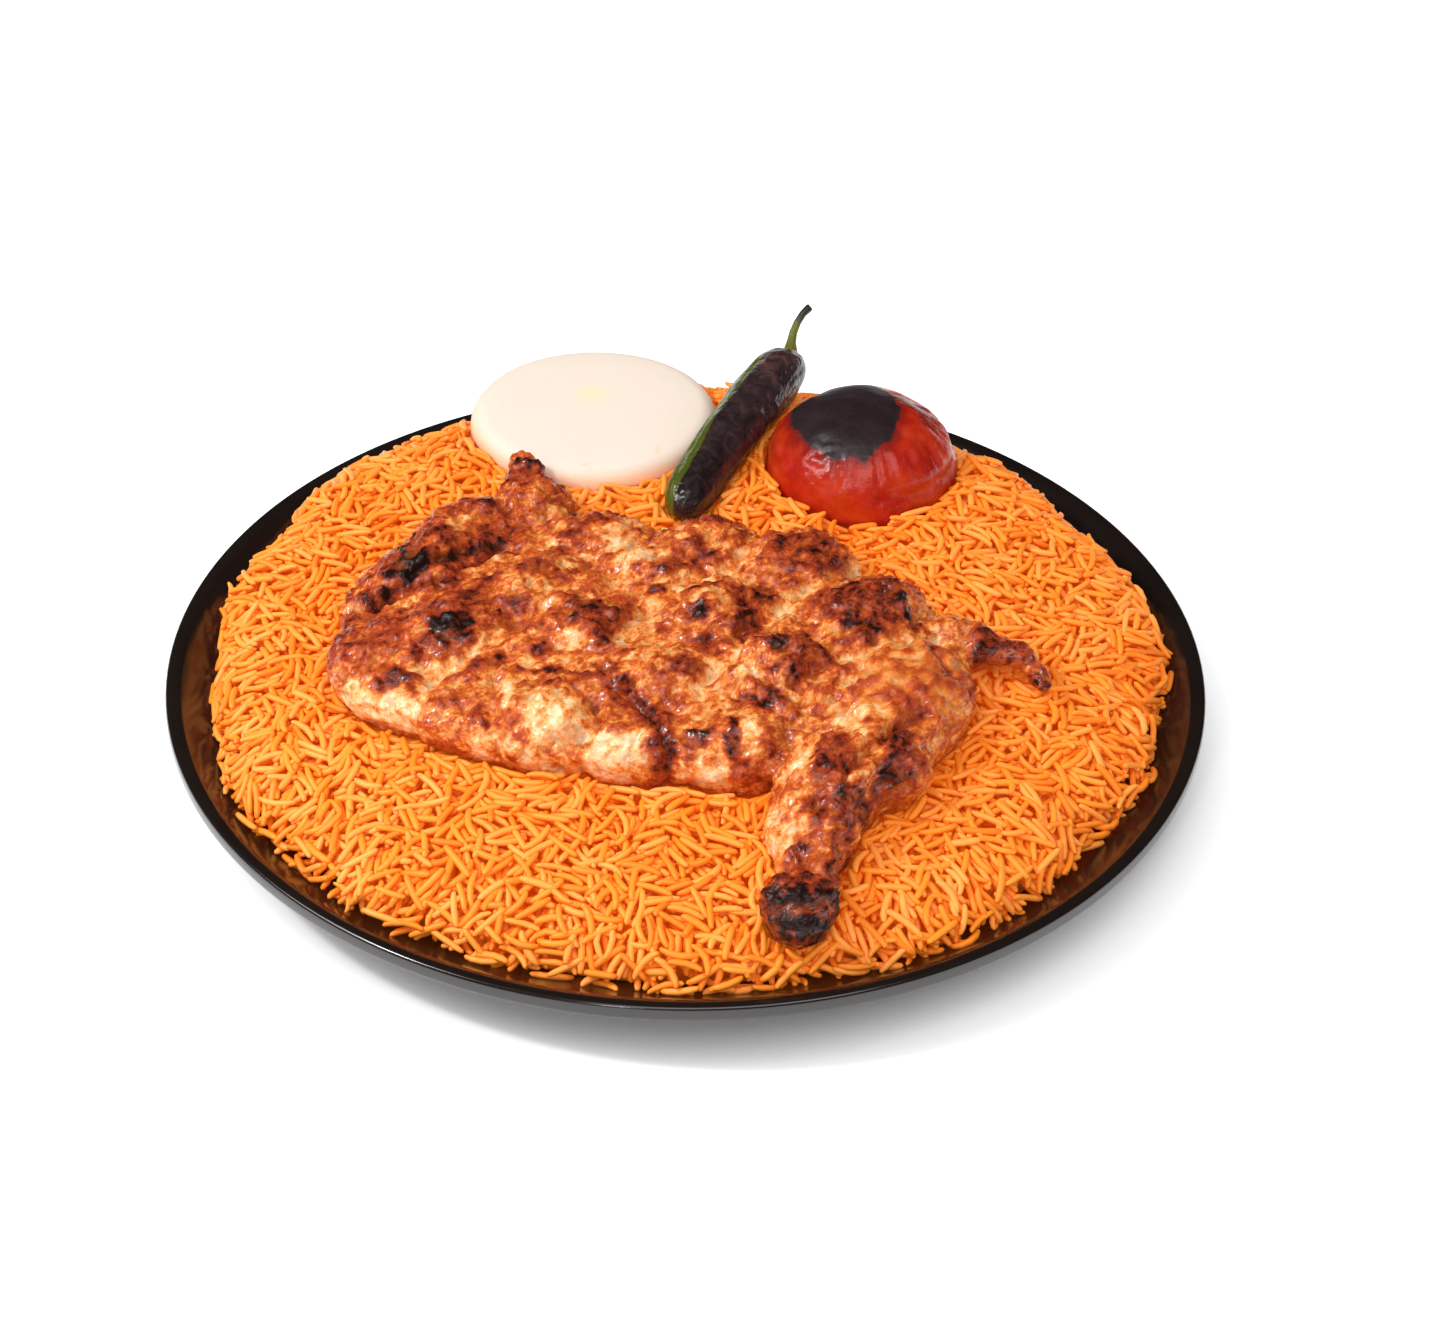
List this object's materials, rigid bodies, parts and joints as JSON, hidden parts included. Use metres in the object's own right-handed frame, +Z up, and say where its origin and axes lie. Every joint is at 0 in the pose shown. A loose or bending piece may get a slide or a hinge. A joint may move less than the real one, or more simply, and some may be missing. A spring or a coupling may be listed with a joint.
{
  "type": "plate of chicken kabsa",
  "caption": "Round black plate heaped with orange long-grain rice, topped with a scored grilled half chicken, a cut onion, a grilled tomato and a charred green chilli.",
  "frame": {"origin": "on the table under the middle of the plate, in the plane of its foot ring", "axes": "+Z up out of the plate, -Y towards the diner, +X to the diner's right, so the onion, chilli and tomato lie at +Y"},
  "size_m": [0.31, 0.31, 0.0668],
  "materials": {
    "plate_glaze": "glossy black glaze",
    "rice": "cooked rice, slightly moist, stained orange",
    "chicken": "grilled meat and skin, moist, charred in patches",
    "onion": "raw onion, smooth and moist",
    "tomato": "grilled tomato skin, glossy, charred black on top",
    "chilli": "charred chilli skin, glossy, green at the sides"
  },
  "bodies": {
    "root": {"plate": "plate_glaze", "rice": "rice", "chicken": "chicken", "onion": "onion", "tomato": "tomato", "green_chilli": "chilli"}
  },
  "joints": []
}
